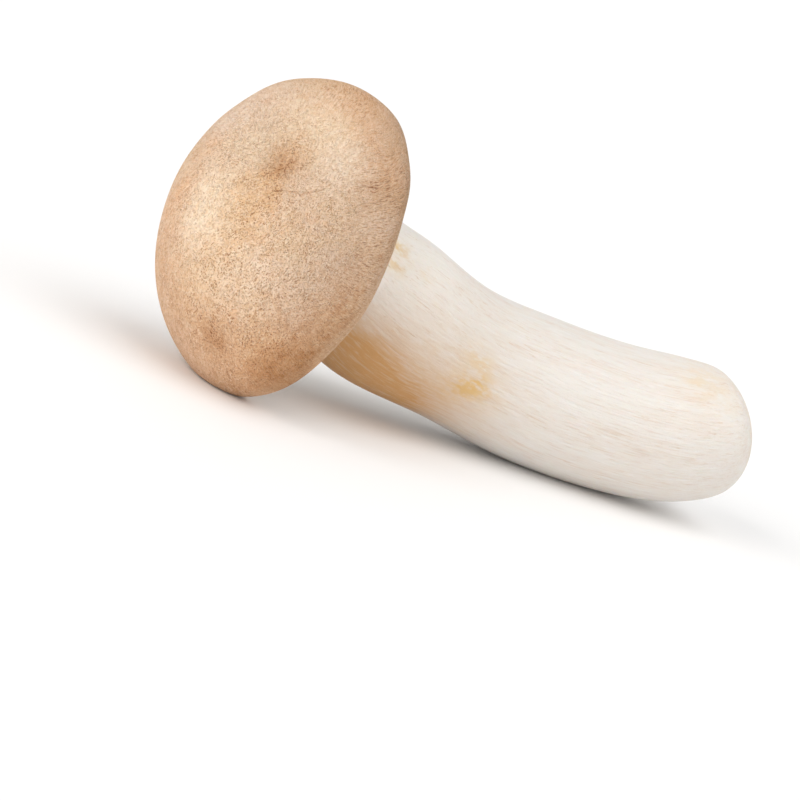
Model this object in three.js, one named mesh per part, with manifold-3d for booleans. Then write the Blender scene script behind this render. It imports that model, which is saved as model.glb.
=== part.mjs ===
import * as THREE from 'three';
import Module from 'manifold-3d';

// King oyster mushroom, whole, lying on its side. Millimetres, +Z up, resting on z = 0.
// The cap is at -X and shows its top that way. The stem runs to +X and ends in a rounded base.
// It grew as one piece, so it is one closed surface: base, stem, neck, gills, margin and cap top.

// Centreline of the stem, from the base to the middle of the cap's top.
const BASE = new THREE.Vector3(70, -12.7, 22.8);
const LOW_BEND = new THREE.Vector3(35.6, -14.3, 6.1);
const HIGH_BEND = new THREE.Vector3(-42, 1.6, 19.6);
const POLE = new THREE.Vector3(-58.3, -23.65, 43.8);

// Outlines turned round the centreline, as radius and height from the plane of the pole.
// The stem's outline is drawn for DRAWN_LENGTH of centreline and is stretched to the real one.
const DRAWN_LENGTH = 137.4;
const NECK_HEIGHT = -34;
const STEM_OUTLINE = [
  [0, -138.5],
  [3.4, -138.2],
  [5.6, -137.1],
  [8.8, -136],
  [12.2, -133.7],
  [14.6, -129.4],
  [16, -119.5],
  [16.1, -107],
  [15.8, -87],
  [14.9, -67.5],
  [16.4, -48],
  [15.2, NECK_HEIGHT],
];
const UNDER_OUTLINE = [
  [15.2, NECK_HEIGHT],
  [15.4, -28],
  [15.9, -22.6],
  [16.7, -18],
  [18, -14.6],
  [19.6, -12.9],
  [21.3, -13.2],
  [22.4, -15.4],
  [22.7, -18.2],
];
const TOP_OUTLINE = [
  [22.7, -18.2],
  [23.6, -20.2],
  [25.5, -20.4],
  [27.5, -18.2],
  [28.3, -14.4],
  [27.4, -10.5],
  [24.9, -6.6],
  [21.5, -3.3],
  [17.3, -1],
  [12.8, 0],
  [8.2, -0.2],
  [3.7, -0.8],
  [0, -1.2],
];

// The cap is wider to one side, a little oval and tilted on the stem. Directions are in radians from up.
const CAP_WIDTH_SCALE = 0.987;
const CAP_HEIGHT_SCALE = 1.061;
const ONE_SIDED = 0.1435;
const ONE_SIDED_TOWARD = 3.63;
const OVAL = 0.1236;
const OVAL_TOWARD = 0.477;
const TILT_UP = 0.237;
const TILT_SIDE = 0.048;
// Radii between which the cap's own shape takes over from the round stem.
const UNDER_BLEND = { from: 15.5, to: 22 };

// Gills: in each pair a long one runs down the neck, and a short one stays under the cap.
const GILL_PAIRS = 36;
const GILL_DEPTH = 2.3;
// Shares of the space from one gill to the next: the blade's edge, and each of its two flanks.
const BLADE_SHARE = 0.5;
const FLANK_SHARE = 0.1;

// Slow swells of the skin, in millimetres, and the waves round the mushroom that each is the sum of.
// A wave has a share of the swell, a number of lobes, a twist in radians a millimetre and a start.
const STEM_SWELL = 0.3;
const STEM_WAVES = [
  { share: 0.6, lobes: 3, twist: 0.059, start: -0.65 },
  { share: 0.4, lobes: 5, twist: -0.0345, start: 2.8 },
];
const MARGIN_SWELL = 0.2;
const MARGIN_WAVES = [
  { share: 0.6, lobes: 7, twist: 0, start: 0.1 },
  { share: 0.4, lobes: 11, twist: 0, start: 1.1 },
];
const CROWN_SWELL = 0.3;
const CROWN_WAVES = [
  { share: 0.6, lobes: 2, twist: 0, start: 1.75 },
  { share: 0.4, lobes: 3, twist: 0.12, start: 0.5 },
];

// How finely each part of the surface is divided.
const ROUND_COLUMNS = 56;
const STEM_ROWS = 16;
const GILL_ROWS = 11;
const TOP_ROWS = 20;

const FULL_TURN = Math.PI * 2;

function smooth(x, from, to) {
  const t = Math.min(Math.max((x - from) / (to - from), 0), 1);
  return t * t * (3 - 2 * t);
}

function sumOfWaves(waves, angle, along) {
  return waves.reduce(
    (sum, { share, lobes, twist, start }) => sum + share * Math.sin(lobes * angle + twist * along + start),
    0,
  );
}

const centreline = new THREE.CubicBezierCurve3(BASE, LOW_BEND, HIGH_BEND, POLE);
centreline.arcLengthDivisions = 400;
const length = centreline.getLength();

// The point at a radius, a height below the pole and an angle from up.
// Past either end of the centreline it runs on straight.
function aroundCentreline(radius, height, angle) {
  const along = length + height;
  const u = Math.min(Math.max(along / length, 0), 1);
  const tangent = centreline.getTangentAt(u);
  const centre = centreline.getPointAt(u).addScaledVector(tangent, along - u * length);
  const side = new THREE.Vector3(0, 1, 0).addScaledVector(tangent, -tangent.y).normalize();
  const up = new THREE.Vector3().crossVectors(side, tangent);
  return centre
    .addScaledVector(up, radius * Math.cos(angle))
    .addScaledVector(side, radius * Math.sin(angle));
}

// The same for a point of the cap, widened, made oval and tilted by a weight from 0 to 1.
function onCap(radius, height, angle, weight) {
  const oneSided = ONE_SIDED * Math.cos(angle - ONE_SIDED_TOWARD);
  const oval = OVAL * Math.cos(2 * (angle - OVAL_TOWARD));
  const widened = radius * (1 + (CAP_WIDTH_SCALE - 1) * weight) * (1 + (oneSided + oval) * weight);
  const raised = height * (1 + (CAP_HEIGHT_SCALE - 1) * weight);
  const tilt = TILT_UP * Math.cos(angle) + TILT_SIDE * Math.sin(angle);
  return aroundCentreline(widened, raised + widened * tilt * weight, angle);
}

function outlineOf(points) {
  return new THREE.SplineCurve(points.map(([radius, height]) => new THREE.Vector2(radius, height)));
}
const stemOutline = outlineOf(STEM_OUTLINE);
const underOutline = outlineOf(UNDER_OUTLINE);
const topOutline = outlineOf(TOP_OUTLINE);

// The stem, from the base's tip at t = 0 to the neck at t = 1.
function stemPoint(t, angle) {
  const at = stemOutline.getPoint(t);
  const stretch = (length + NECK_HEIGHT) / (DRAWN_LENGTH + NECK_HEIGHT);
  const height = NECK_HEIGHT + (at.y - NECK_HEIGHT) * stretch;
  const fade = smooth(at.x, 8, 14) * smooth(NECK_HEIGHT - at.y, 0, 12);
  const swell = STEM_SWELL * fade * sumOfWaves(STEM_WAVES, angle, at.y);
  return aroundCentreline(at.x + swell, height, angle);
}

// The underside, from the neck to the margin's inner edge. Depth is how far a gill stands off it there.
function underPoint(t, angle, depth) {
  const at = underOutline.getPoint(t);
  const tangent = underOutline.getTangent(t);
  const weight = smooth(at.x, UNDER_BLEND.from, UNDER_BLEND.to);
  return onCap(at.x + depth * tangent.y, at.y - depth * tangent.x, angle, weight);
}

// The top, from the margin's inner edge over the rolled rim to the middle.
function topPoint(t, angle) {
  const at = topOutline.getPoint(t);
  const rim = smooth(t, 0, 0.12) * (1 - smooth(t, 0.45, 0.7));
  const crown = smooth(at.x, 3, 12) * smooth(t, 0.4, 0.6);
  const outward = MARGIN_SWELL * rim * sumOfWaves(MARGIN_WAVES, angle, at.x);
  const upward = CROWN_SWELL * crown * sumOfWaves(CROWN_WAVES, angle, at.x);
  return onCap(at.x + outward, at.y + upward, angle, 1);
}

// A gill rises out of the neck, is deepest under the cap and runs out on the margin's inner wall.
function gillDepth(t, isLong) {
  const whole = smooth(t, 0, 0.5) * (1 - smooth(t, 0.8, 1));
  return GILL_DEPTH * (isLong ? whole : whole * smooth(t, 0.3, 0.6));
}

// Every gill takes four columns: two along its edge and two in the furrow beside it.
function gillColumns() {
  const gills = GILL_PAIRS * 2;
  const halfEdge = BLADE_SHARE / 2;
  const foot = halfEdge + FLANK_SHARE;
  const columns = [];
  for (let gill = 0; gill < gills; gill += 1) {
    const isLong = gill % 2 === 0;
    for (const [offset, onEdge] of [[-halfEdge, true], [halfEdge, true], [foot, false], [1 - foot, false]]) {
      columns.push({ angle: ((gill + offset) / gills) * FULL_TURN, onEdge, isLong });
    }
  }
  return columns;
}

// Rings of points from the base to the cap's middle, each as a list of { angle, point }.
const rings = [];
const roundAngles = Array.from({ length: ROUND_COLUMNS }, (_, i) => (i / ROUND_COLUMNS) * FULL_TURN);
for (let row = 1; row <= STEM_ROWS; row += 1) {
  rings.push(roundAngles.map((angle) => ({ angle, point: stemPoint(row / STEM_ROWS, angle) })));
}
for (let row = 1; row <= GILL_ROWS; row += 1) {
  const t = row / (GILL_ROWS + 1);
  rings.push(gillColumns().map(({ angle, onEdge, isLong }) => {
    const depth = onEdge ? gillDepth(t, isLong) : 0;
    return { angle, point: underPoint(t, angle, depth) };
  }));
}
for (let row = 0; row < TOP_ROWS; row += 1) {
  rings.push(roundAngles.map((angle) => ({ angle, point: topPoint(row / TOP_ROWS, angle) })));
}
const tip = stemPoint(0, 0);
const middle = topPoint(1, 0);

const points = [tip];
const starts = rings.map((ring) => {
  const start = points.length;
  ring.forEach(({ point }) => points.push(point));
  return start;
});
points.push(middle);

// Triangles between two rings, which may have different numbers of points.
function band(lower, upper) {
  const triangles = [];
  const a = rings[lower];
  const b = rings[upper];
  const angleOf = (ring, i) => ring[i % ring.length].angle + (i >= ring.length ? FULL_TURN : 0);
  let i = 0;
  let j = 0;
  while (i < a.length || j < b.length) {
    const here = starts[lower] + (i % a.length);
    const there = starts[upper] + (j % b.length);
    const nextHere = i < a.length ? angleOf(a, i + 1) : Infinity;
    const nextThere = j < b.length ? angleOf(b, j + 1) : Infinity;
    if (nextHere <= nextThere) {
      i += 1;
      triangles.push(here, starts[lower] + (i % a.length), there);
    } else {
      j += 1;
      triangles.push(here, starts[upper] + (j % b.length), there);
    }
  }
  return triangles;
}

const triangles = [];
rings[0].forEach((_, i) => {
  const next = (i + 1) % rings[0].length;
  triangles.push(0, starts[0] + next, starts[0] + i);
});
for (let row = 0; row + 1 < rings.length; row += 1) {
  triangles.push(...band(row, row + 1));
}
const last = rings.length - 1;
rings[last].forEach((_, i) => {
  const next = (i + 1) % rings[last].length;
  triangles.push(starts[last] + i, starts[last] + next, points.length - 1);
});

// The rim and the belly of the stem reach just below the floor, and are cut to two small flats they rest on.
const manifold = await Module();
manifold.setup();
const grown = new manifold.Manifold(new manifold.Mesh({
  numProp: 3,
  vertProperties: new Float32Array(points.flatMap((point) => point.toArray())),
  triVerts: new Uint32Array(triangles),
}));
const rested = grown.trimByPlane([0, 0, 1], 0).getMesh();

const geometry = new THREE.BufferGeometry();
geometry.setAttribute('position', new THREE.BufferAttribute(rested.vertProperties, 3));
geometry.setIndex(new THREE.BufferAttribute(rested.triVerts, 1));
geometry.computeBoundingBox();
const centre = geometry.boundingBox.getCenter(new THREE.Vector3());
geometry.translate(-centre.x, -centre.y, 0);
geometry.computeVertexNormals();

const flesh = new THREE.MeshStandardMaterial({ color: 0xe9dcc8, roughness: 0.75, metalness: 0 });
const mushroom = new THREE.Mesh(geometry, flesh);
mushroom.name = 'king_oyster_mushroom';

const part = new THREE.Group();
part.name = 'king_oyster';
part.add(mushroom);
export default part;
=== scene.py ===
import math

import bpy
import numpy as np
from mathutils import Matrix, Vector


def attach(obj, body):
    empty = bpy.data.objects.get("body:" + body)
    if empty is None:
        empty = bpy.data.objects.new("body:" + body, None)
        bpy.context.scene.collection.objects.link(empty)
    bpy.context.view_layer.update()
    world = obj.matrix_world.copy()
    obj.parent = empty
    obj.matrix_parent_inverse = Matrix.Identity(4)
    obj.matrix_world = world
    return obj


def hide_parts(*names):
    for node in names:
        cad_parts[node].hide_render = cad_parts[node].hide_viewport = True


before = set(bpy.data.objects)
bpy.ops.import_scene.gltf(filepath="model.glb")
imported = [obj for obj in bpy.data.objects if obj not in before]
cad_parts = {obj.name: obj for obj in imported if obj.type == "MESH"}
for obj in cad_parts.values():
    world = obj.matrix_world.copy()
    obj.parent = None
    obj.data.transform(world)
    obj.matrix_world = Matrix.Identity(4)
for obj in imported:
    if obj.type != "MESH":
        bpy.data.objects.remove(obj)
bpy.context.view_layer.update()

# The mushroom's form, in millimetres. These are the same named values as in the part's source.
BASE = (70, -12.7, 22.8)
LOW_BEND = (35.6, -14.3, 6.1)
HIGH_BEND = (-42, 1.6, 19.6)
POLE = (-58.3, -23.65, 43.8)
DRAWN_LENGTH = 137.4
NECK_HEIGHT = -34.0
STEM_OUTLINE = [(0, -138.5), (3.4, -138.2), (5.6, -137.1), (8.8, -136), (12.2, -133.7), (14.6, -129.4),
                (16, -119.5), (16.1, -107), (15.8, -87), (14.9, -67.5), (16.4, -48), (15.2, -34)]
UNDER_OUTLINE = [(15.2, -34), (15.4, -28), (15.9, -22.6), (16.7, -18), (18, -14.6), (19.6, -12.9),
                 (21.3, -13.2), (22.4, -15.4), (22.7, -18.2)]
TOP_OUTLINE = [(22.7, -18.2), (23.6, -20.2), (25.5, -20.4), (27.5, -18.2), (28.3, -14.4), (27.4, -10.5),
               (24.9, -6.6), (21.5, -3.3), (17.3, -1), (12.8, 0), (8.2, -0.2), (3.7, -0.8), (0, -1.2)]
CAP_WIDTH_SCALE = 0.987
CAP_HEIGHT_SCALE = 1.061
ONE_SIDED, ONE_SIDED_TOWARD = 0.1435, 3.63
OVAL, OVAL_TOWARD = 0.1236, 0.477
TILT_UP, TILT_SIDE = 0.237, 0.048
# Radii between which the cap's own shape takes over from the round stem.
UNDER_BLEND = (15.5, 22)
GILL_DEPTH = 2.3

# Waves as (share, lobes, twist in radians a millimetre, start).
STEM_SWELL, STEM_WAVES = 0.3, [(0.6, 3, 0.059, -0.65), (0.4, 5, -0.0345, 2.8)]
MARGIN_SWELL, MARGIN_WAVES = 0.2, [(0.6, 7, 0, 0.1), (0.4, 11, 0, 1.1)]
CROWN_SWELL, CROWN_WAVES = 0.3, [(0.6, 2, 0, 1.75), (0.4, 3, 0.12, 0.5)]

# Every fourth gill is long, the one between two long ones is middling and the rest are short. For each
# length: where a gill begins and where it is at full depth, as shares of the way from neck to margin.
GILL_BEGINS = np.array([0.0, 0.3, 0.52])
GILL_FULL = np.array([0.5, 0.62, 0.8])
# How far each of a gill's two waves takes it to either side, as a share of the space between gills.
GILL_WANDER = 0.14

# How finely the shown surface is divided.
STEM_COLUMNS, STEM_ROWS = 240, 120
GILLS, GILL_COLUMNS, GILL_ROWS = 144, 6, 30
TOP_COLUMNS, TOP_ROWS = 360, 110
FULL_TURN = 2 * math.pi

# The spot on the cap that the outer fibres run away from, as its angle and its reach from the middle.
FIBRES_ANGLE, FIBRES_REACH = 4.2, 9.0
# Where the scar at the base's end fades out and where it is whole, as heights below the pole.
SCAR_EDGE, SCAR_WHOLE = -135.0, -137.4

rng = np.random.default_rng(7)


def smooth(x, start, end):
    t = np.clip((np.asarray(x, float) - start) / (end - start), 0, 1)
    return t * t * (3 - 2 * t)


def spline(points, t):
    """The point and the unit tangent of an even Catmull-Rom curve through the points."""
    p = np.array(points, float)
    x = (len(p) - 1) * np.asarray(t, float)
    i = np.minimum(np.floor(x).astype(int), len(p) - 2)
    w = (x - i)[:, None]
    p1, p2 = p[i], p[i + 1]
    v0 = (p2 - p[np.maximum(i - 1, 0)]) / 2
    v1 = (p[np.minimum(i + 2, len(p) - 1)] - p1) / 2
    at = (2 * p1 - 2 * p2 + v0 + v1) * w**3 + (3 * p2 - 3 * p1 - 2 * v0 - v1) * w**2 + v0 * w + p1
    slope = 3 * (2 * p1 - 2 * p2 + v0 + v1) * w**2 + 2 * (3 * p2 - 3 * p1 - 2 * v0 - v1) * w + v0
    return at, slope / np.linalg.norm(slope, axis=1)[:, None]


def waves(table, angle, along):
    total = 0
    for share, lobes, twist, start in table:
        total = total + share * np.sin(lobes * angle + twist * along + start)
    return total


# The centreline, walked in small steps so that it can be read by length.
steps = np.linspace(0, 1, 801)[:, None]
corners = np.array([BASE, LOW_BEND, HIGH_BEND, POLE], float)
walk = ((1 - steps)**3 * corners[0] + 3 * (1 - steps)**2 * steps * corners[1]
        + 3 * (1 - steps) * steps**2 * corners[2] + steps**3 * corners[3])
walked = np.concatenate([[0], np.cumsum(np.linalg.norm(np.diff(walk, axis=0), axis=1))])
heading = np.gradient(walk, walked, axis=0)
heading /= np.linalg.norm(heading, axis=1)[:, None]
length = walked[-1]
# The stem's outline is drawn for DRAWN_LENGTH of centreline, and is stretched to the real length.
stretch = (length + NECK_HEIGHT) / (DRAWN_LENGTH + NECK_HEIGHT)


def around_centreline(radius, height, angle):
    """Points at a radius, a height below the pole and an angle from up."""
    along = length + height
    inside = np.clip(along, 0, length)
    centre = np.stack([np.interp(inside, walked, walk[:, k]) for k in range(3)], -1)
    tangent = np.stack([np.interp(inside, walked, heading[:, k]) for k in range(3)], -1)
    tangent /= np.linalg.norm(tangent, axis=-1, keepdims=True)
    centre = centre + (along - inside)[..., None] * tangent
    side = np.array([0, 1, 0]) - tangent[..., 1:2] * tangent
    side /= np.linalg.norm(side, axis=-1, keepdims=True)
    up = np.cross(side, tangent)
    turned = np.cos(angle)[..., None] * up + np.sin(angle)[..., None] * side
    return centre + radius[..., None] * turned


def on_cap(radius, height, angle, weight):
    one_sided = ONE_SIDED * np.cos(angle - ONE_SIDED_TOWARD)
    oval = OVAL * np.cos(2 * (angle - OVAL_TOWARD))
    widened = radius * (1 + (CAP_WIDTH_SCALE - 1) * weight) * (1 + (one_sided + oval) * weight)
    raised = height * (1 + (CAP_HEIGHT_SCALE - 1) * weight)
    tilt = TILT_UP * np.cos(angle) + TILT_SIDE * np.sin(angle)
    return around_centreline(widened, raised + widened * tilt * weight, angle)


# Each zone of the surface gives rings of points with the values that the materials read.
def stem_rings():
    t = np.linspace(0, 1, STEM_ROWS + 1)[1:]
    angle = np.linspace(0, FULL_TURN, STEM_COLUMNS, endpoint=False)[None, :]
    at, _ = spline(STEM_OUTLINE, t)
    radius, drawn = at[:, :1] + 0 * angle, at[:, 1:] + 0 * angle
    height = NECK_HEIGHT + (drawn - NECK_HEIGHT) * stretch
    fade = smooth(radius, 8, 14) * smooth(NECK_HEIGHT - drawn, 0, 12)
    radius = radius + STEM_SWELL * fade * waves(STEM_WAVES, angle, drawn)
    points = around_centreline(radius, height, angle + 0 * radius)
    return [ring("stem", points[i], angle[0], radius[i], height[i], 0, 0) for i in range(len(t))]


def gill_rings():
    t = np.linspace(0, 1, GILL_ROWS + 2)[1:-1]
    count = GILLS * GILL_COLUMNS
    column = np.arange(count)
    gill = column // GILL_COLUMNS
    across = (column % GILL_COLUMNS + 0.5) / GILL_COLUMNS - 0.5
    ridge = 1 - smooth(np.abs(across), 0.06, 0.44)
    tier = np.where(gill % 4 == 0, 0, np.where(gill % 2 == 0, 1, 2))
    begins = GILL_BEGINS[tier] + rng.uniform(-0.03, 0.03, GILLS)[gill]
    full = GILL_FULL[tier]
    deep = rng.uniform(0.85, 1.08, GILLS)[gill]
    wander = rng.uniform(-1, 1, (2, GILLS))[:, gill]
    rings = []
    for value in t:
        at, slope = spline(UNDER_OUTLINE, np.full(count, value))
        whole = smooth(value, 0, 0.5) * (1 - smooth(value, 0.82, 1))
        reach = np.where(tier == 0, whole, whole * smooth((value - begins) / (full - begins), 0, 1))
        depth = GILL_DEPTH * reach * ridge * deep
        drift = wander[0] * math.sin(6 * value) + wander[1] * math.sin(13 * value + 1)
        angle = (gill + across + GILL_WANDER * drift) / GILLS * FULL_TURN
        weight = smooth(at[:, 0], *UNDER_BLEND)
        radius = at[:, 0] + depth * slope[:, 1]
        height = at[:, 1] - depth * slope[:, 0]
        points = on_cap(radius, height, angle, weight)
        rings.append(ring("gills", points, angle, radius, height, depth / GILL_DEPTH, value))
    return rings


def top_rings():
    t = np.linspace(0, 1, TOP_ROWS + 1)[:-1]
    angle = np.linspace(0, FULL_TURN, TOP_COLUMNS, endpoint=False)[None, :]
    at, _ = spline(TOP_OUTLINE, t)
    radius, height = at[:, :1] + 0 * angle, at[:, 1:] + 0 * angle
    value = t[:, None]
    rim = smooth(value, 0, 0.12) * (1 - smooth(value, 0.45, 0.7))
    crown = smooth(radius, 3, 12) * smooth(value, 0.4, 0.6)
    outward = MARGIN_SWELL * rim * waves(MARGIN_WAVES, angle, radius)
    upward = CROWN_SWELL * crown * waves(CROWN_WAVES, angle, radius)
    points = on_cap(radius + outward, height + upward, angle + 0 * radius, 1 + 0 * radius)
    whole, _ = spline(TOP_OUTLINE, np.linspace(0, 1, TOP_ROWS + 1))
    from_pole = np.cumsum(np.linalg.norm(np.diff(whole, axis=0), axis=1)[::-1])[::-1]
    rows = range(len(t))
    return [ring("cap", points[i], angle[0], radius[i], height[i], 0, from_pole[i]) for i in rows]


def ring(zone, points, angle, radius, height, ridge, reach):
    n = len(points)
    return {"zone": zone, "points": points, "angle": np.asarray(angle) + np.zeros(n),
            "radius": np.asarray(radius) + np.zeros(n), "height": np.asarray(height) + np.zeros(n),
            "ridge": np.zeros(n) + ridge, "reach": np.zeros(n) + reach}


def faces_between(a, b, start_a, start_b):
    """Quads between rings of equal size, triangles between rings of different size."""
    n, m = len(a["angle"]), len(b["angle"])
    if n == m:
        after = [(i + 1) % n for i in range(n)]
        return [(start_a + i, start_a + after[i], start_b + after[i], start_b + i) for i in range(n)]
    angle_a = np.append(a["angle"], a["angle"][0] + FULL_TURN)
    angle_b = np.append(b["angle"], b["angle"][0] + FULL_TURN)
    faces = []
    i, j = 0, 0
    while i < n or j < m:
        here, there = start_a + i % n, start_b + j % m
        if j >= m or (i < n and angle_a[i + 1] <= angle_b[j + 1]):
            i += 1
            faces.append((here, start_a + i % n, there))
        else:
            j += 1
            faces.append((here, start_b + j % m, there))
    return faces


def build_mushroom():
    rings = stem_rings() + gill_rings() + top_rings()
    tip_height = NECK_HEIGHT + (STEM_OUTLINE[0][1] - NECK_HEIGHT) * stretch
    tip = around_centreline(np.array([0.0]), np.array([tip_height]), np.array([0.0]))
    middle_height = float(TOP_OUTLINE[-1][1])
    middle = on_cap(np.array([0.0]), np.array([middle_height]), np.array([0.0]), np.array([0.0]))
    points = np.concatenate([tip] + [r["points"] for r in rings] + [middle])
    starts = 1 + np.concatenate([[0], np.cumsum([len(r["points"]) for r in rings])])
    faces, zones = [], []
    first = len(rings[0]["points"])
    for i in range(first):
        faces.append((0, 1 + (i + 1) % first, 1 + i))
    zones += ["stem"] * first
    for k in range(len(rings) - 1):
        made = faces_between(rings[k], rings[k + 1], int(starts[k]), int(starts[k + 1]))
        faces += made
        zones += [rings[k + 1]["zone"] if rings[k]["zone"] != "gills" else "gills"] * len(made)
    last, end = int(starts[len(rings) - 1]), len(points) - 1
    for i in range(TOP_COLUMNS):
        faces.append((last + i, last + (i + 1) % TOP_COLUMNS, end))
    zones += ["cap"] * TOP_COLUMNS
    return rings, points, faces, zones


rings, points, faces, zones = build_mushroom()
low, high = points.min(0), points.max(0)
points = points - [(low[0] + high[0]) / 2, (low[1] + high[1]) / 2, 0]
points[:, 2] = np.maximum(points[:, 2], 0)

mesh = bpy.data.meshes.new("mushroom")
mesh.from_pydata((points / 1000).tolist(), [], faces)
mesh.update()
mushroom = bpy.data.objects.new("mushroom", mesh)
bpy.context.scene.collection.objects.link(mushroom)
mesh.polygons.foreach_set("use_smooth", [True] * len(faces))


def gather(name, at_tip, at_middle):
    return np.concatenate([[at_tip]] + [r[name] for r in rings] + [[at_middle]])


def add_values(name, values):
    mesh.attributes.new(name, "FLOAT", "POINT").data.foreach_set("value", np.asarray(values, np.float32))


def add_vectors(name, values):
    data = mesh.attributes.new(name, "FLOAT_VECTOR", "POINT").data
    data.foreach_set("vector", np.asarray(values, np.float32).ravel())


angle = gather("angle", 0, 0)
radius = gather("radius", 0, 0)
height = gather("height", -length, TOP_OUTLINE[-1][1])
zone_of_point = np.concatenate([["stem"]] + [[r["zone"]] * len(r["points"]) for r in rings] + [["cap"]])
reach = gather("reach", 0, 0)
add_vectors("round", np.stack([radius * np.cos(angle), radius * np.sin(angle), height], -1))

# The cap's skin laid out flat: how far east and north of its middle a point is, along the skin.
east = np.where(zone_of_point == "cap", reach * np.cos(angle), 0)
north = np.where(zone_of_point == "cap", reach * np.sin(angle), 0)
add_vectors("plan", np.stack([east, north, 0 * east], -1))
# The outer fibres run away from a spot beside the middle.
east_of_spot = east - FIBRES_REACH * math.cos(FIBRES_ANGLE)
north_of_spot = north - FIBRES_REACH * math.sin(FIBRES_ANGLE)
from_spot = np.hypot(east_of_spot, north_of_spot)
around_spot = np.arctan2(north_of_spot, east_of_spot)
add_vectors("dome", np.stack([np.cos(around_spot), np.sin(around_spot), from_spot], -1))
add_values("from_spot", from_spot)
add_values("ridge", gather("ridge", 0, 0))
add_values("reach", np.where(zone_of_point == "cap", reach, 0))
add_values("under", np.where(zone_of_point == "gills", reach, 0))

# Patches of colour. On the cap: angle, reach from the middle, spread and strength. On the stem: angle,
# height, spread round it, spread along it and strength. In radians and millimetres.
CAP_PATCHES = {
    # Paler skin, partly painted highlight on the crown's shoulders either side of the middle.
    "pale_and_highlight": [
        (3.05, 12, 3.6, 1.0), (3.35, 15, 3, 0.4), (5.88, 13.1, 4, 0.9), (0.24, 11.6, 4, 0.6),
        (3.9, 19, 5, 0.4), (0.9, 13, 5, 0.5), (1.76, 8, 3, 0.5), (5.35, 28, 4, 0.45), (6.05, 30, 4, 0.2),
        (2.6, 4.5, 2.2, 0.35), (2.16, 11, 3, 0.3),
    ],
    "ochre": [
        (3.75, 4.6, 2.2, 0.8), (3.65, 8.1, 3, 0.4), (3.94, 10.1, 3, 0.4), (2.74, 7, 2.5, 0.15),
        (3.3, 7.6, 2.5, 0.3), (3.6, 2.2, 2, 0.6),
    ],
    # Brown near the middle is the cap's own colour; the brown at its lower edge is painted shade.
    "brown_and_shade": [
        (0.9, 1.4, 1.9, 0.5), (0.8, 2.6, 4, 0.2), (3.9, 4.5, 2.4, 0.2), (4.2, 33, 4.5, 0.62),
        (4.75, 30, 3.5, 0.2), (5.74, 23.4, 3.5, 0.2), (3.7, 26.8, 2, 0.85), (3.95, 32.5, 1.8, 0.35),
        (4.5, 33, 4, 0.35), (4.0, 36.5, 5, 0.42), (3.55, 40, 3.5, 0.6), (4.05, 41, 4, 0.7),
        (3.1, 23, 4, 0.16), (3.2, 28, 4, 0.12), (3.45, 25, 3, 0.12), (3.8, 9.6, 3, 0.07),
    ],
    "orange": [
        (0.4, 23, 6, 0.8), (5.9, 27, 6, 1.0), (5.4, 33, 5, 0.5), (3.1, 24, 5, 0.6), (3.7, 26.5, 4, 0.35),
        (3.86, 35.5, 7, 1.0), (3.3, 33, 5, 0.6), (3.5, 40, 5, 0.8), (4.1, 39, 6, 0.8), (4.5, 39, 5, 0.6),
        (2.25, 16.5, 2, 0.9), (2.75, 17.8, 2.6, 0.8), (0.8, 2, 3, 0.9),
    ],
    "grey": [(4.47, 22, 6, 0.8), (4.8, 27, 5, 0.9), (5.2, 24, 4, 0.3)],
    "pink": [
        (1.85, 18, 4.5, 1.0), (1.3, 21, 5, 0.7), (3.5, 33, 5, 0.35), (3.2, 29, 5, 0.35), (3.1, 23, 4, 0.2),
        (5.93, 31.5, 4, 0.5), (5.3, 32, 4, 0.6), (5.31, 27, 4, 0.5), (4.9, 36, 4, 0.5),
        (5.85, 14, 4.5, 0.45), (5.5, 20, 5, 0.3), (4.32, 28.5, 3.2, 0.3), (3.75, 29, 3, 0.2),
    ],
    "speckled": [
        (3.93, 20, 6, 0.8), (4.3, 13, 6, 0.3), (3.9, 6, 4, 0.8), (0.9, 1.6, 3, 1.0), (3.75, 26, 5, 0.9),
        (4.2, 32, 8, 0.7),
    ],
    "streaks": [
        (5.5, 25, 6, 0.5), (5.2, 27, 3, 0.3), (4.85, 30, 3, 0.3), (5.75, 22, 3.5, 0.6), (5.1, 29, 6, 0.5),
        (4.6, 33, 6, 0.3), (5.9, 30, 6, 0.3), (0.5, 24, 6, 0.35),
    ],
}
STEM_PATCHES = {
    # Yellow stains down the stem are real; the patches at the neck, just under the cap's edge, are painted
    # shade.
    "stain_and_neck_shade": [
        (4.64, -68.1, 2, 2.4, 0.65), (4.92, -65.5, 1.5, 2.6, 0.45), (4.5, -66.3, 1.2, 1.6, 0.6),
        (4.55, -71, 1.5, 2.5, 0.35), (5.55, -33.5, 1.8, 2.8, 0.8), (5.3, -34, 1.5, 2.5, 0.6),
        (5.45, -43.5, 1, 1.3, 0.35), (5.79, -125, 5, 6, 0.3), (5.69, -120.6, 1.6, 2, 0.2),
        (2.2, -52, 3, 4, 0.5), (1.1, -98, 2.5, 5, 0.3), (4.37, -65.5, 2, 3, 0.5), (4.5, -62, 6, 9, 0.2),
    ],
    # Painted warm shade on the neck, under the cap.
    "painted_neck_shade": [
        (3.7, -40, 6.5, 9, 0.85), (3.6, -54, 5, 10, 0.95), (4.15, -40, 6, 9, 0.4),
        (4.1, -60, 5.5, 10, 0.35), (4.6, -52, 9, 16, 0.16),
    ],
    # Painted light on the neck beside the cap, lifting it where the cap shades it.
    "light": [(5.2, -40, 8, 10, 0.7), (5.9, -40, 8, 10, 0.6)],
}
# Fine creases near the middle of the cap, each from one (angle, reach) to the next.
CREASES = [
    [(4.10, 3.6), (4.99, 7.6), (5.36, 11.1), (5.52, 12.1)],
    [(0.23, 1.3), (4.96, 2.7)],
    [(5.6, 17.5), (5.72, 21)],
]
# The stem's middling radius, which turns an angle round it into millimetres.
STEM_RADIUS = 15.5


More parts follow.
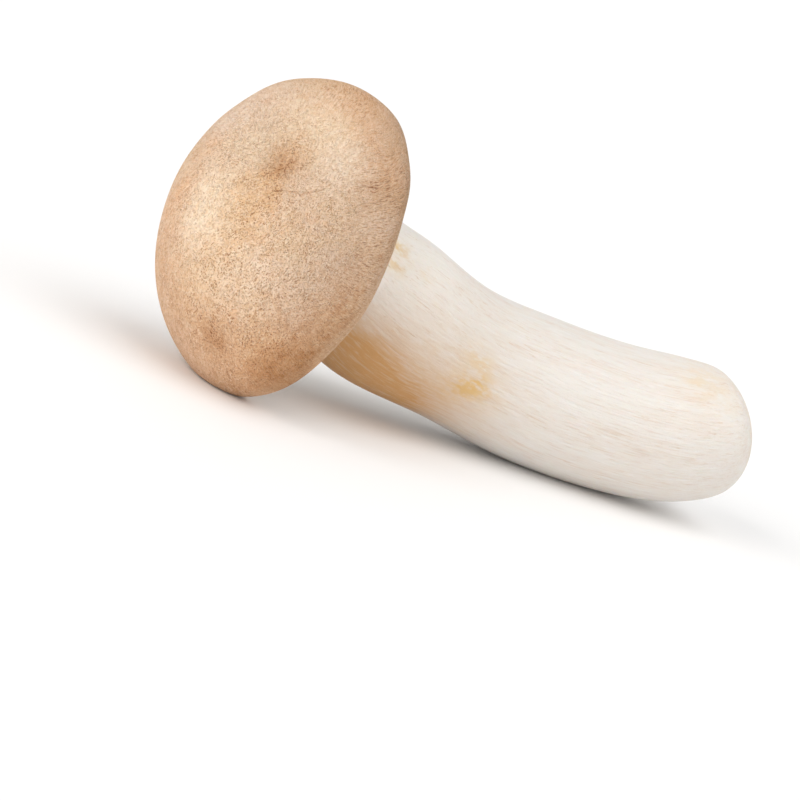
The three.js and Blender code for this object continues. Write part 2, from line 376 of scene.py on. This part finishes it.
def patch_sum(patches):
    total = np.zeros(len(angle))
    for at, out, spread, strength in patches:
        away = (east - out * math.cos(at))**2 + (north - out * math.sin(at))**2
        total += strength * np.exp(-away / (2 * spread**2))
    return np.where(zone_of_point == "cap", total, 0)


def stem_patch_sum(patches):
    total = np.zeros(len(angle))
    for at, along, spread_round, spread_along, strength in patches:
        turned = (angle - at + math.pi) % FULL_TURN - math.pi
        away = (turned * STEM_RADIUS / spread_round)**2 + ((height - along) / spread_along)**2
        total += strength * np.exp(-away / 2)
    return np.where(zone_of_point != "cap", total, 0)


for name, patches in CAP_PATCHES.items():
    add_values(name, np.clip(patch_sum(patches), 0, 1))
for name, patches in STEM_PATCHES.items():
    add_values(name, np.clip(stem_patch_sum(patches), 0, 1))


class Paint:
    """A material's nodes, made one call at a time. Each call gives the socket to go on with."""

    def __init__(self, name):
        self.material = bpy.data.materials.new(name)
        self.material.use_nodes = True
        self.tree = self.material.node_tree
        self.shader = self.tree.nodes["Principled BSDF"]

    def make(self, kind, values, output, **settings):
        node = self.tree.nodes.new(kind)
        for key, value in settings.items():
            setattr(node, key, value)
        for key, value in values.items():
            if isinstance(value, bpy.types.NodeSocket):
                self.tree.links.new(value, node.inputs[key])
            else:
                node.inputs[key].default_value = value
        return node.outputs[output]

    def attribute(self, name, output="Fac"):
        return self.make("ShaderNodeAttribute", {}, output, attribute_name=name)

    def stretched(self, vector, scale, turn=0.0):
        """The vector turned about its third axis, then scaled."""
        if turn:
            vector = self.make("ShaderNodeVectorRotate", {"Vector": vector, "Angle": turn}, "Vector")
        return self.make("ShaderNodeMapping", {"Vector": vector, "Scale": scale}, "Vector")

    def noise(self, vector, scale, detail=3.0, roughness=0.55, distortion=0.0):
        values = {"Vector": vector, "Scale": scale, "Detail": detail, "Roughness": roughness,
                  "Distortion": distortion}
        return self.make("ShaderNodeTexNoise", values, "Fac")

    def spots(self, vector, size, kept):
        """Soft spots, one in each of the kept share of irregular cells: 1 in a spot, 0 outside."""
        node = self.tree.nodes.new("ShaderNodeTexVoronoi")
        self.tree.links.new(vector, node.inputs["Vector"])
        node.inputs["Scale"].default_value = 1.0
        chance = self.make("ShaderNodeSeparateColor", {0: node.outputs["Color"]}, 0)
        inside = self.between(node.outputs["Distance"], size * 0.4, size, 1.0, 0.0)
        return self.math("MULTIPLY", inside, self.between(chance, kept - 0.25, kept, 1.0, 0.0))

    def between(self, value, start, end, low=0.0, high=1.0):
        values = {"Value": value, "From Min": start, "From Max": end, "To Min": low, "To Max": high}
        return self.make("ShaderNodeMapRange", values, "Result", interpolation_type="SMOOTHSTEP")

    def math(self, operation, a, b=0.0):
        return self.make("ShaderNodeMath", {0: a, 1: b}, "Value", operation=operation)

    def mix(self, share, a, b):
        values = {0: share, 6: a, 7: b}
        return self.make("ShaderNodeMix", values, 2, data_type="RGBA")

    def darker(self, share, colour, tint):
        """The colour, multiplied by the tint where the share is 1."""
        values = {0: share, 6: colour, 7: tint}
        return self.make("ShaderNodeMix", values, 2, data_type="RGBA", blend_type="MULTIPLY")

    def off_line(self, place, start, end):
        """The distance from a place to a straight stretch between two points."""
        span = Vector(end) - Vector(start)
        kind = "ShaderNodeVectorMath"
        from_start = self.make(kind, {0: place, 1: start}, 0, operation="SUBTRACT")
        along = self.make(kind, {0: from_start, 1: span / span.length_squared}, 1, operation="DOT_PRODUCT")
        inside = self.make("ShaderNodeClamp", {0: along}, 0)
        beside = self.make(kind, {0: span, "Scale": inside}, 0, operation="SCALE")
        away = self.make(kind, {0: from_start, 1: beside}, 0, operation="SUBTRACT")
        return self.make(kind, {0: away}, 1, operation="LENGTH")

    def relief(self, height, distance, under=None):
        values = {"Height": height, "Distance": distance, "Strength": 1.0}
        if under is not None:
            values["Normal"] = under
        return self.make("ShaderNodeBump", values, "Normal")

    def finish(self, colour, roughness, normal, scatter, sheen):
        link = self.tree.links.new
        link(colour, self.shader.inputs["Base Color"])
        link(roughness, self.shader.inputs["Roughness"])
        link(normal, self.shader.inputs["Normal"])
        self.shader.inputs["Subsurface Weight"].default_value = scatter
        self.shader.inputs["Subsurface Radius"].default_value = (1, 0.55, 0.3)
        self.shader.inputs["Subsurface Scale"].default_value = 0.002
        self.shader.inputs["Sheen Weight"].default_value = sheen
        self.shader.inputs["Sheen Roughness"].default_value = 0.5
        self.shader.inputs["Specular IOR Level"].default_value = 0.2
        return self.material


CREAM = (0.75, 0.71, 0.66, 1)
PINK_CREAM = (0.74, 0.68, 0.62, 1)
WHITE_CREAM = (0.79, 0.76, 0.73, 1)
# The colour of the painted light on the neck.
PAINTED_LIGHT_CREAM = (0.86, 0.82, 0.76, 1)
FIBRE = (0.62, 0.46, 0.35, 1)
THREAD = (0.64, 0.51, 0.40, 1)
WARM_CREAM = (0.66, 0.54, 0.41, 1)
# The colour of the painted warm shade on the neck under the cap.
PAINTED_SHADE_BROWN = (0.58, 0.32, 0.13, 1)
TAN = (0.77, 0.55, 0.36, 1)
PALE_TAN = (0.90, 0.73, 0.55, 1)
PINK_TAN = (0.79, 0.58, 0.42, 1)
PALE_PINK = (0.84, 0.66, 0.53, 1)
GREY_TAN = (0.66, 0.50, 0.39, 1)
OCHRE = (0.76, 0.51, 0.30, 1)
ORANGE_TAN = (0.78, 0.46, 0.26, 1)
RIM_TAN = (0.70, 0.47, 0.30, 1)
RUSSET = (0.46, 0.23, 0.095, 1)
DARK_TINT = (0.56, 0.39, 0.26, 1)
SPECK_TINT = (0.50, 0.33, 0.20, 1)
STRAND_TINT = (0.80, 0.64, 0.50, 1)
MOTTLE_TINT = (0.93, 0.87, 0.80, 1)
SCAR_TAN = (0.66, 0.53, 0.39, 1)
GILL_CREAM = (0.66, 0.56, 0.43, 1)
# The colour of the painted shade between the gills.
FURROW_SHADE = (0.40, 0.28, 0.18, 1)
# The yellow of the real stains and of the painted shade under the cap's edge.
YELLOW_STAIN_AND_SHADE = (0.72, 0.50, 0.23, 1)


def cap_felt(p, skin, dome):
    """Short dark fibres, lying every way near the middle of the cap and outward nearer its edge.
    Gives them all, those that lie outward, the share that does, and broad strands along those."""
    every_way = p.spots(p.stretched(skin, (4.2, 4.2, 4.2)), 0.5, 0.7)
    for turn in (0.4, 1.45, 2.5):
        dashes = p.spots(p.stretched(skin, (4.6, 1.6, 2.6), turn=turn), 0.42, 0.45)
        every_way = p.math("MAXIMUM", every_way, dashes)
    coarse = p.spots(p.stretched(dome, (85, 85, 0.42)), 0.48, 0.6)
    fine = p.spots(p.stretched(dome, (140, 140, 0.9)), 0.5, 0.7)
    outward = p.math("MAXIMUM", coarse, p.math("MULTIPLY", fine, 0.8))
    share = p.between(p.attribute("from_spot"), 12, 27, 0.0, 0.85)
    share = p.math("MULTIPLY", share, p.between(p.attribute("streaks"), 0.0, 0.4, 0.5, 1.0))
    near = p.math("MULTIPLY", every_way, p.math("SUBTRACT", 1.0, share))
    far = p.math("MULTIPLY", outward, p.math("MULTIPLY", share, 0.7))
    strands = p.noise(p.stretched(dome, (85, 85, 0.6)), 1.0, 3.0, 0.6)
    return p.math("ADD", near, far), outward, share, strands


def cap_creases(p, plan):
    """How close a place is to a crease: 1 on it and 0 beside it."""
    wandering = p.make("ShaderNodeTexNoise", {"Vector": plan, "Scale": 0.5, "Detail": 1.0}, "Color")
    kind = "ShaderNodeVectorMath"
    offset = p.make(kind, {0: wandering, 1: (0.5, 0.5, 0.5)}, 0, operation="SUBTRACT")
    shifted = p.make(kind, {0: offset, 1: (1.6, 1.6, 0), 2: plan}, 0, operation="MULTIPLY_ADD")
    away = 9.0
    for crease in CREASES:
        spots = [(out * math.cos(at), out * math.sin(at), 0) for at, out in crease]
        for start, end in zip(spots, spots[1:]):
            away = p.math("MINIMUM", p.off_line(shifted, start, end), away)
    return p.between(away, 0.04, 0.24, 1.0, 0.0)


def cap_material():
    p = Paint("mushroom_cap")
    skin = p.attribute("round", "Vector")
    dome = p.attribute("dome", "Vector")
    out = p.attribute("reach")
    # Slow changes of tone, then the patches.
    slow = p.noise(skin, 0.07, 2.0)
    cloud = p.noise(skin, 0.32, 4.0, 0.62)
    colour = p.mix(p.between(slow, 0.4, 0.62), TAN, PINK_TAN)
    colour = p.mix(p.between(cloud, 0.48, 0.7, 0.0, 0.4), colour, ORANGE_TAN)
    colour = p.mix(p.math("MULTIPLY", p.attribute("grey"), 0.7), colour, GREY_TAN)
    colour = p.mix(p.math("MULTIPLY", p.attribute("orange"), 0.75), colour, ORANGE_TAN)
    # Paler skin, partly painted highlight on the crown.
    pale_and_highlight = p.attribute("pale_and_highlight")
    colour = p.mix(p.math("MULTIPLY", pale_and_highlight, 0.8), colour, PALE_TAN)
    ochre = p.math("MULTIPLY", p.attribute("ochre"), p.between(cloud, 0.35, 0.6, 0.3, 0.9))
    colour = p.mix(ochre, colour, OCHRE)
    colour = p.mix(p.math("MULTIPLY", p.attribute("pink"), 0.8), colour, PALE_PINK)
    # Brown mottling, partly painted shade along the cap's lower edge.
    mottled_and_shade = p.math("MULTIPLY", p.attribute("brown_and_shade"), p.between(cloud, 0.3, 0.65, 0.5, 1.0))
    colour = p.mix(mottled_and_shade, colour, RUSSET)
    colour = p.mix(p.between(out, 14, 38, 0.0, 0.36), colour, RUSSET)
    blotches = p.between(p.noise(skin, 0.16, 4.0, 0.6), 0.45, 0.65)
    blotches = p.math("MULTIPLY", blotches, p.between(out, 24, 34))
    colour = p.mix(p.math("MULTIPLY", blotches, 0.16), colour, RUSSET)
    mottles = p.between(p.noise(skin, 0.9, 3.0, 0.6), 0.4, 0.62)
    colour = p.darker(mottles, colour, MOTTLE_TINT)
    # The rim is smoother and a little paler, and turns cream where it rolls in.
    rim = p.between(out, 35.5, 37.5)
    paler = p.math("MULTIPLY", rim, p.between(p.attribute("orange"), 0.3, 1.0, 0.5, 0.1))
    colour = p.mix(paler, colour, RIM_TAN)
    felt, outward, share, strands = cap_felt(p, skin, dome)
    colour = p.darker(p.math("MULTIPLY", share, p.between(strands, 0.5, 0.68)), colour, STRAND_TINT)
    colour = p.mix(p.math("MULTIPLY", share, p.between(strands, 0.5, 0.34, 0.0, 0.25)), colour, PALE_TAN)
    patchy = p.between(p.noise(skin, 0.5, 3.0), 0.36, 0.64, 0.3, 1.0)
    patchy = p.math("MULTIPLY", patchy, p.between(pale_and_highlight, 0.0, 1.0, 1.0, 0.45))
    patchy = p.math("MULTIPLY", patchy, p.between(rim, 0.0, 1.0, 1.0, 0.5))
    colour = p.darker(p.math("MULTIPLY", felt, patchy), colour, DARK_TINT)
    colour = p.darker(p.math("MULTIPLY", outward, p.attribute("streaks")), colour, DARK_TINT)
    specks = p.spots(p.stretched(skin, (2.7, 2.7, 2.7)), 0.46, 0.6)
    clusters = p.between(p.noise(skin, 0.42, 3.0), 0.42, 0.6, 0.15, 1.0)
    specks = p.math("MULTIPLY", specks, p.math("MULTIPLY", clusters, p.attribute("speckled")))
    colour = p.darker(specks, colour, SPECK_TINT)
    grain = p.noise(skin, 3.2, 2.0, 0.6)
    light = p.between(grain, 0.5, 0.7, 0.0, 0.45)
    light = p.math("MULTIPLY", light, p.between(mottled_and_shade, 0.0, 0.6, 1.0, 0.3))
    colour = p.mix(light, colour, PALE_TAN)
    hairs = p.math("ABSOLUTE", p.math("SUBTRACT", p.noise(skin, 0.9, 1.0, 0.4), 0.5))
    hairs = p.math("MULTIPLY", p.between(hairs, 0.0, 0.016, 1.0, 0.0), p.between(cloud, 0.5, 0.6))
    colour = p.darker(p.math("MULTIPLY", hairs, 0.6), colour, DARK_TINT)
    crease = cap_creases(p, p.attribute("plan", "Vector"))
    # Painted shade in the fine creases.
    colour = p.darker(p.math("MULTIPLY", crease, 0.45), colour, DARK_TINT)
    colour = p.mix(p.between(out, 41.5, 45), colour, WARM_CREAM)
    normal = p.relief(p.math("SUBTRACT", grain, p.math("MULTIPLY", felt, 0.3)), 0.0004)
    normal = p.relief(p.noise(skin, 0.8, 3.0), 0.0003, normal)
    normal = p.relief(p.math("MULTIPLY", crease, -1.0), 0.00006, normal)
    rough = p.between(grain, 0.3, 0.7, 0.72, 0.9)
    return p.finish(colour, rough, normal, 0.1, 0.04)


def stem_colour(p, skin):
    """Cream flesh with faint lengthwise fibres and stains, and painted shade and painted light on the neck
    beside the cap. Gives the colour and the fibres.
    """
    fine = p.noise(p.stretched(skin, (1.9, 1.9, 0.16)), 1.0, 4.0, 0.62, 0.5)
    broad = p.noise(p.stretched(skin, (0.35, 0.35, 0.03)), 1.0, 2.0, 0.5)
    colour = p.mix(p.between(broad, 0.35, 0.65), CREAM, PINK_CREAM)
    colour = p.mix(p.between(fine, 0.52, 0.75, 0.0, 0.36), colour, FIBRE)
    colour = p.mix(p.between(fine, 0.3, 0.48, 0.5, 0.0), colour, WHITE_CREAM)
    # Painted light on the neck beside the cap.
    colour = p.mix(p.math("MULTIPLY", p.attribute("light"), 0.8), colour, PAINTED_LIGHT_CREAM)
    threads = p.noise(p.stretched(skin, (3.2, 3.2, 0.15)), 1.0, 3.0, 0.55, 1.0)
    clumps = p.between(broad, 0.4, 0.6, 0.15, 0.7)
    colour = p.mix(p.math("MULTIPLY", p.between(threads, 0.55, 0.7), clumps), colour, THREAD)
    blots = p.noise(p.stretched(skin, (0.45, 0.45, 0.2)), 1.0, 3.0, 0.65)
    # Real yellow stains, and painted shade at the neck just under the cap's edge.
    stain_and_neck_shade = p.math("MULTIPLY", p.attribute("stain_and_neck_shade"), p.between(blots, 0.4, 0.6, 0.25, 1.0))
    colour = p.mix(stain_and_neck_shade, colour, YELLOW_STAIN_AND_SHADE)
    # Painted warm shade on the neck under the cap, broken up by the fibres.
    painted_neck_shade = p.math("MULTIPLY", p.attribute("painted_neck_shade"), p.between(fine, 0.3, 0.62, 0.78, 1.1))
    colour = p.mix(painted_neck_shade, colour, PAINTED_SHADE_BROWN)
    # The low scar at the base's end.
    along = p.make("ShaderNodeSeparateXYZ", {"Vector": skin}, "Z")
    scar = p.between(along, SCAR_WHOLE, SCAR_EDGE, 1.0, 0.0)
    scar = p.math("MULTIPLY", scar, p.between(p.noise(skin, 0.7, 5.0, 0.75), 0.3, 0.7, 0.3, 0.8))
    return p.mix(scar, colour, SCAR_TAN), fine


def stem_material():
    p = Paint("mushroom_stem")
    skin = p.attribute("round", "Vector")
    colour, fine = stem_colour(p, skin)
    grain = p.noise(skin, 3.0, 3.0)
    normal = p.relief(fine, 0.00025)
    normal = p.relief(grain, 0.00008, normal)
    return p.finish(colour, p.between(grain, 0.3, 0.7, 0.55, 0.72), normal, 0.2, 0.05)


def gill_material():
    p = Paint("mushroom_gills")
    skin = p.attribute("round", "Vector")
    colour, fine = stem_colour(p, skin)
    under = p.attribute("under")
    edge = p.between(p.attribute("ridge"), 0.05, 0.8)
    # Painted shade in the furrows between the gills.
    furrow_shade = p.mix(p.between(under, 0.1, 0.6), colour, FURROW_SHADE)
    blade = p.mix(p.between(under, 0.1, 0.6), colour, GILL_CREAM)
    shade = p.mix(p.between(under, 0.0, 0.35), colour, p.mix(edge, furrow_shade, blade))
    shade = p.mix(p.between(under, 0.86, 1.0, 0.0, 0.8), shade, WARM_CREAM)
    normal = p.relief(p.noise(skin, 2.5, 3.0), 0.0001)
    return p.finish(shade, p.between(fine, 0.3, 0.7, 0.6, 0.75), normal, 0.2, 0.0)


slots = ["stem", "gills", "cap"]
mesh.polygons.foreach_set("material_index", [slots.index(z) for z in zones])
for material in (stem_material(), gill_material(), cap_material()):
    mesh.materials.append(material)

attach(mushroom, "root")
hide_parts("king_oyster_mushroom")

# The floor, a hair below the mushroom so that the two faces don't share a plane.
FLOOR_HEIGHT = -0.0002
FLOOR_WHITE = (0.93, 0.925, 0.92, 1)
floor_mesh = bpy.data.meshes.new("floor")
floor_corners = [(x, y, FLOOR_HEIGHT) for x, y in ((-4, -4), (4, -4), (4, 4), (-4, 4))]
floor_mesh.from_pydata(floor_corners, [], [(0, 1, 2, 3)])
floor = bpy.data.objects.new("floor", floor_mesh)
bpy.context.scene.collection.objects.link(floor)
white = bpy.data.materials.new("floor_white")
white.use_nodes = True
paint = white.node_tree.nodes["Principled BSDF"]
paint.inputs["Base Color"].default_value = FLOOR_WHITE
paint.inputs["Roughness"].default_value = 0.6
floor_mesh.materials.append(white)

# White all round near the floor and a little dimmer overhead. It dims between two heights of the sky,
# from 0 at the horizon to 1 straight up.
HORIZON, OVERHEAD = 1.15, 0.62
DIMS_FROM, DIMS_TO = 0.08, 0.3
world = bpy.data.worlds.new("studio")
world.use_nodes = True
sky = world.node_tree
direction = sky.nodes.new("ShaderNodeTexCoord")
split = sky.nodes.new("ShaderNodeSeparateXYZ")
falloff = sky.nodes.new("ShaderNodeMapRange")
sky.links.new(direction.outputs["Generated"], split.inputs[0])
sky.links.new(split.outputs["Z"], falloff.inputs["Value"])
falloff.inputs["From Min"].default_value = DIMS_FROM
falloff.inputs["From Max"].default_value = DIMS_TO
falloff.inputs["To Min"].default_value = HORIZON
falloff.inputs["To Max"].default_value = OVERHEAD
sky.links.new(falloff.outputs[0], sky.nodes["Background"].inputs["Strength"])
sky.nodes["Background"].inputs["Color"].default_value = (1, 1, 1, 1)
bpy.context.scene.world = world
bpy.context.scene.view_settings.view_transform = "Standard"

# The camera, turned by ROLL about its own line of sight.
AZIMUTH, ELEVATION, ROLL = math.radians(-27.83), math.radians(12), math.radians(24)
DISTANCE = 0.480
TARGET = Vector((-0.00437, 0.01447, 0.00314))
FOCAL_LENGTH = 102.73
back = Vector((math.sin(AZIMUTH) * math.cos(ELEVATION), -math.cos(AZIMUTH) * math.cos(ELEVATION),
               math.sin(ELEVATION)))
level_right = Vector((math.cos(AZIMUTH), math.sin(AZIMUTH), 0))
level_up = back.cross(level_right)
right = math.cos(ROLL) * level_right + math.sin(ROLL) * level_up
up = math.cos(ROLL) * level_up - math.sin(ROLL) * level_right
camera = bpy.data.objects.new("camera", bpy.data.cameras.new("camera"))
camera.data.lens = FOCAL_LENGTH
camera.data.sensor_width = 36
camera.data.clip_start = 0.01
camera.data.clip_end = 20
camera.matrix_world = Matrix((
    (right.x, up.x, back.x, TARGET.x + back.x * DISTANCE),
    (right.y, up.y, back.y, TARGET.y + back.y * DISTANCE),
    (right.z, up.z, back.z, TARGET.z + back.z * DISTANCE),
    (0, 0, 0, 1)))
bpy.context.scene.collection.objects.link(camera)
bpy.context.scene.camera = camera


def add_sun(name, sideways, upward, toward, strength, spread, colour):
    """A soft distant light. It comes from where it would stand as the camera sees it."""
    light = bpy.data.objects.new(name, bpy.data.lights.new(name, "SUN"))
    light.data.energy = strength
    light.data.angle = math.radians(spread)
    light.data.color = colour
    place = right * sideways + up * upward + back * toward
    light.matrix_world = place.to_track_quat("Z", "Y").to_matrix().to_4x4()
    bpy.context.scene.collection.objects.link(light)


add_sun("key", -0.6, 0.65, 0.85, 1.5, 45, (1, 0.99, 0.98))
add_sun("second", 0.8, 0.7, 0.45, 1.15, 60, (1, 0.995, 0.99))
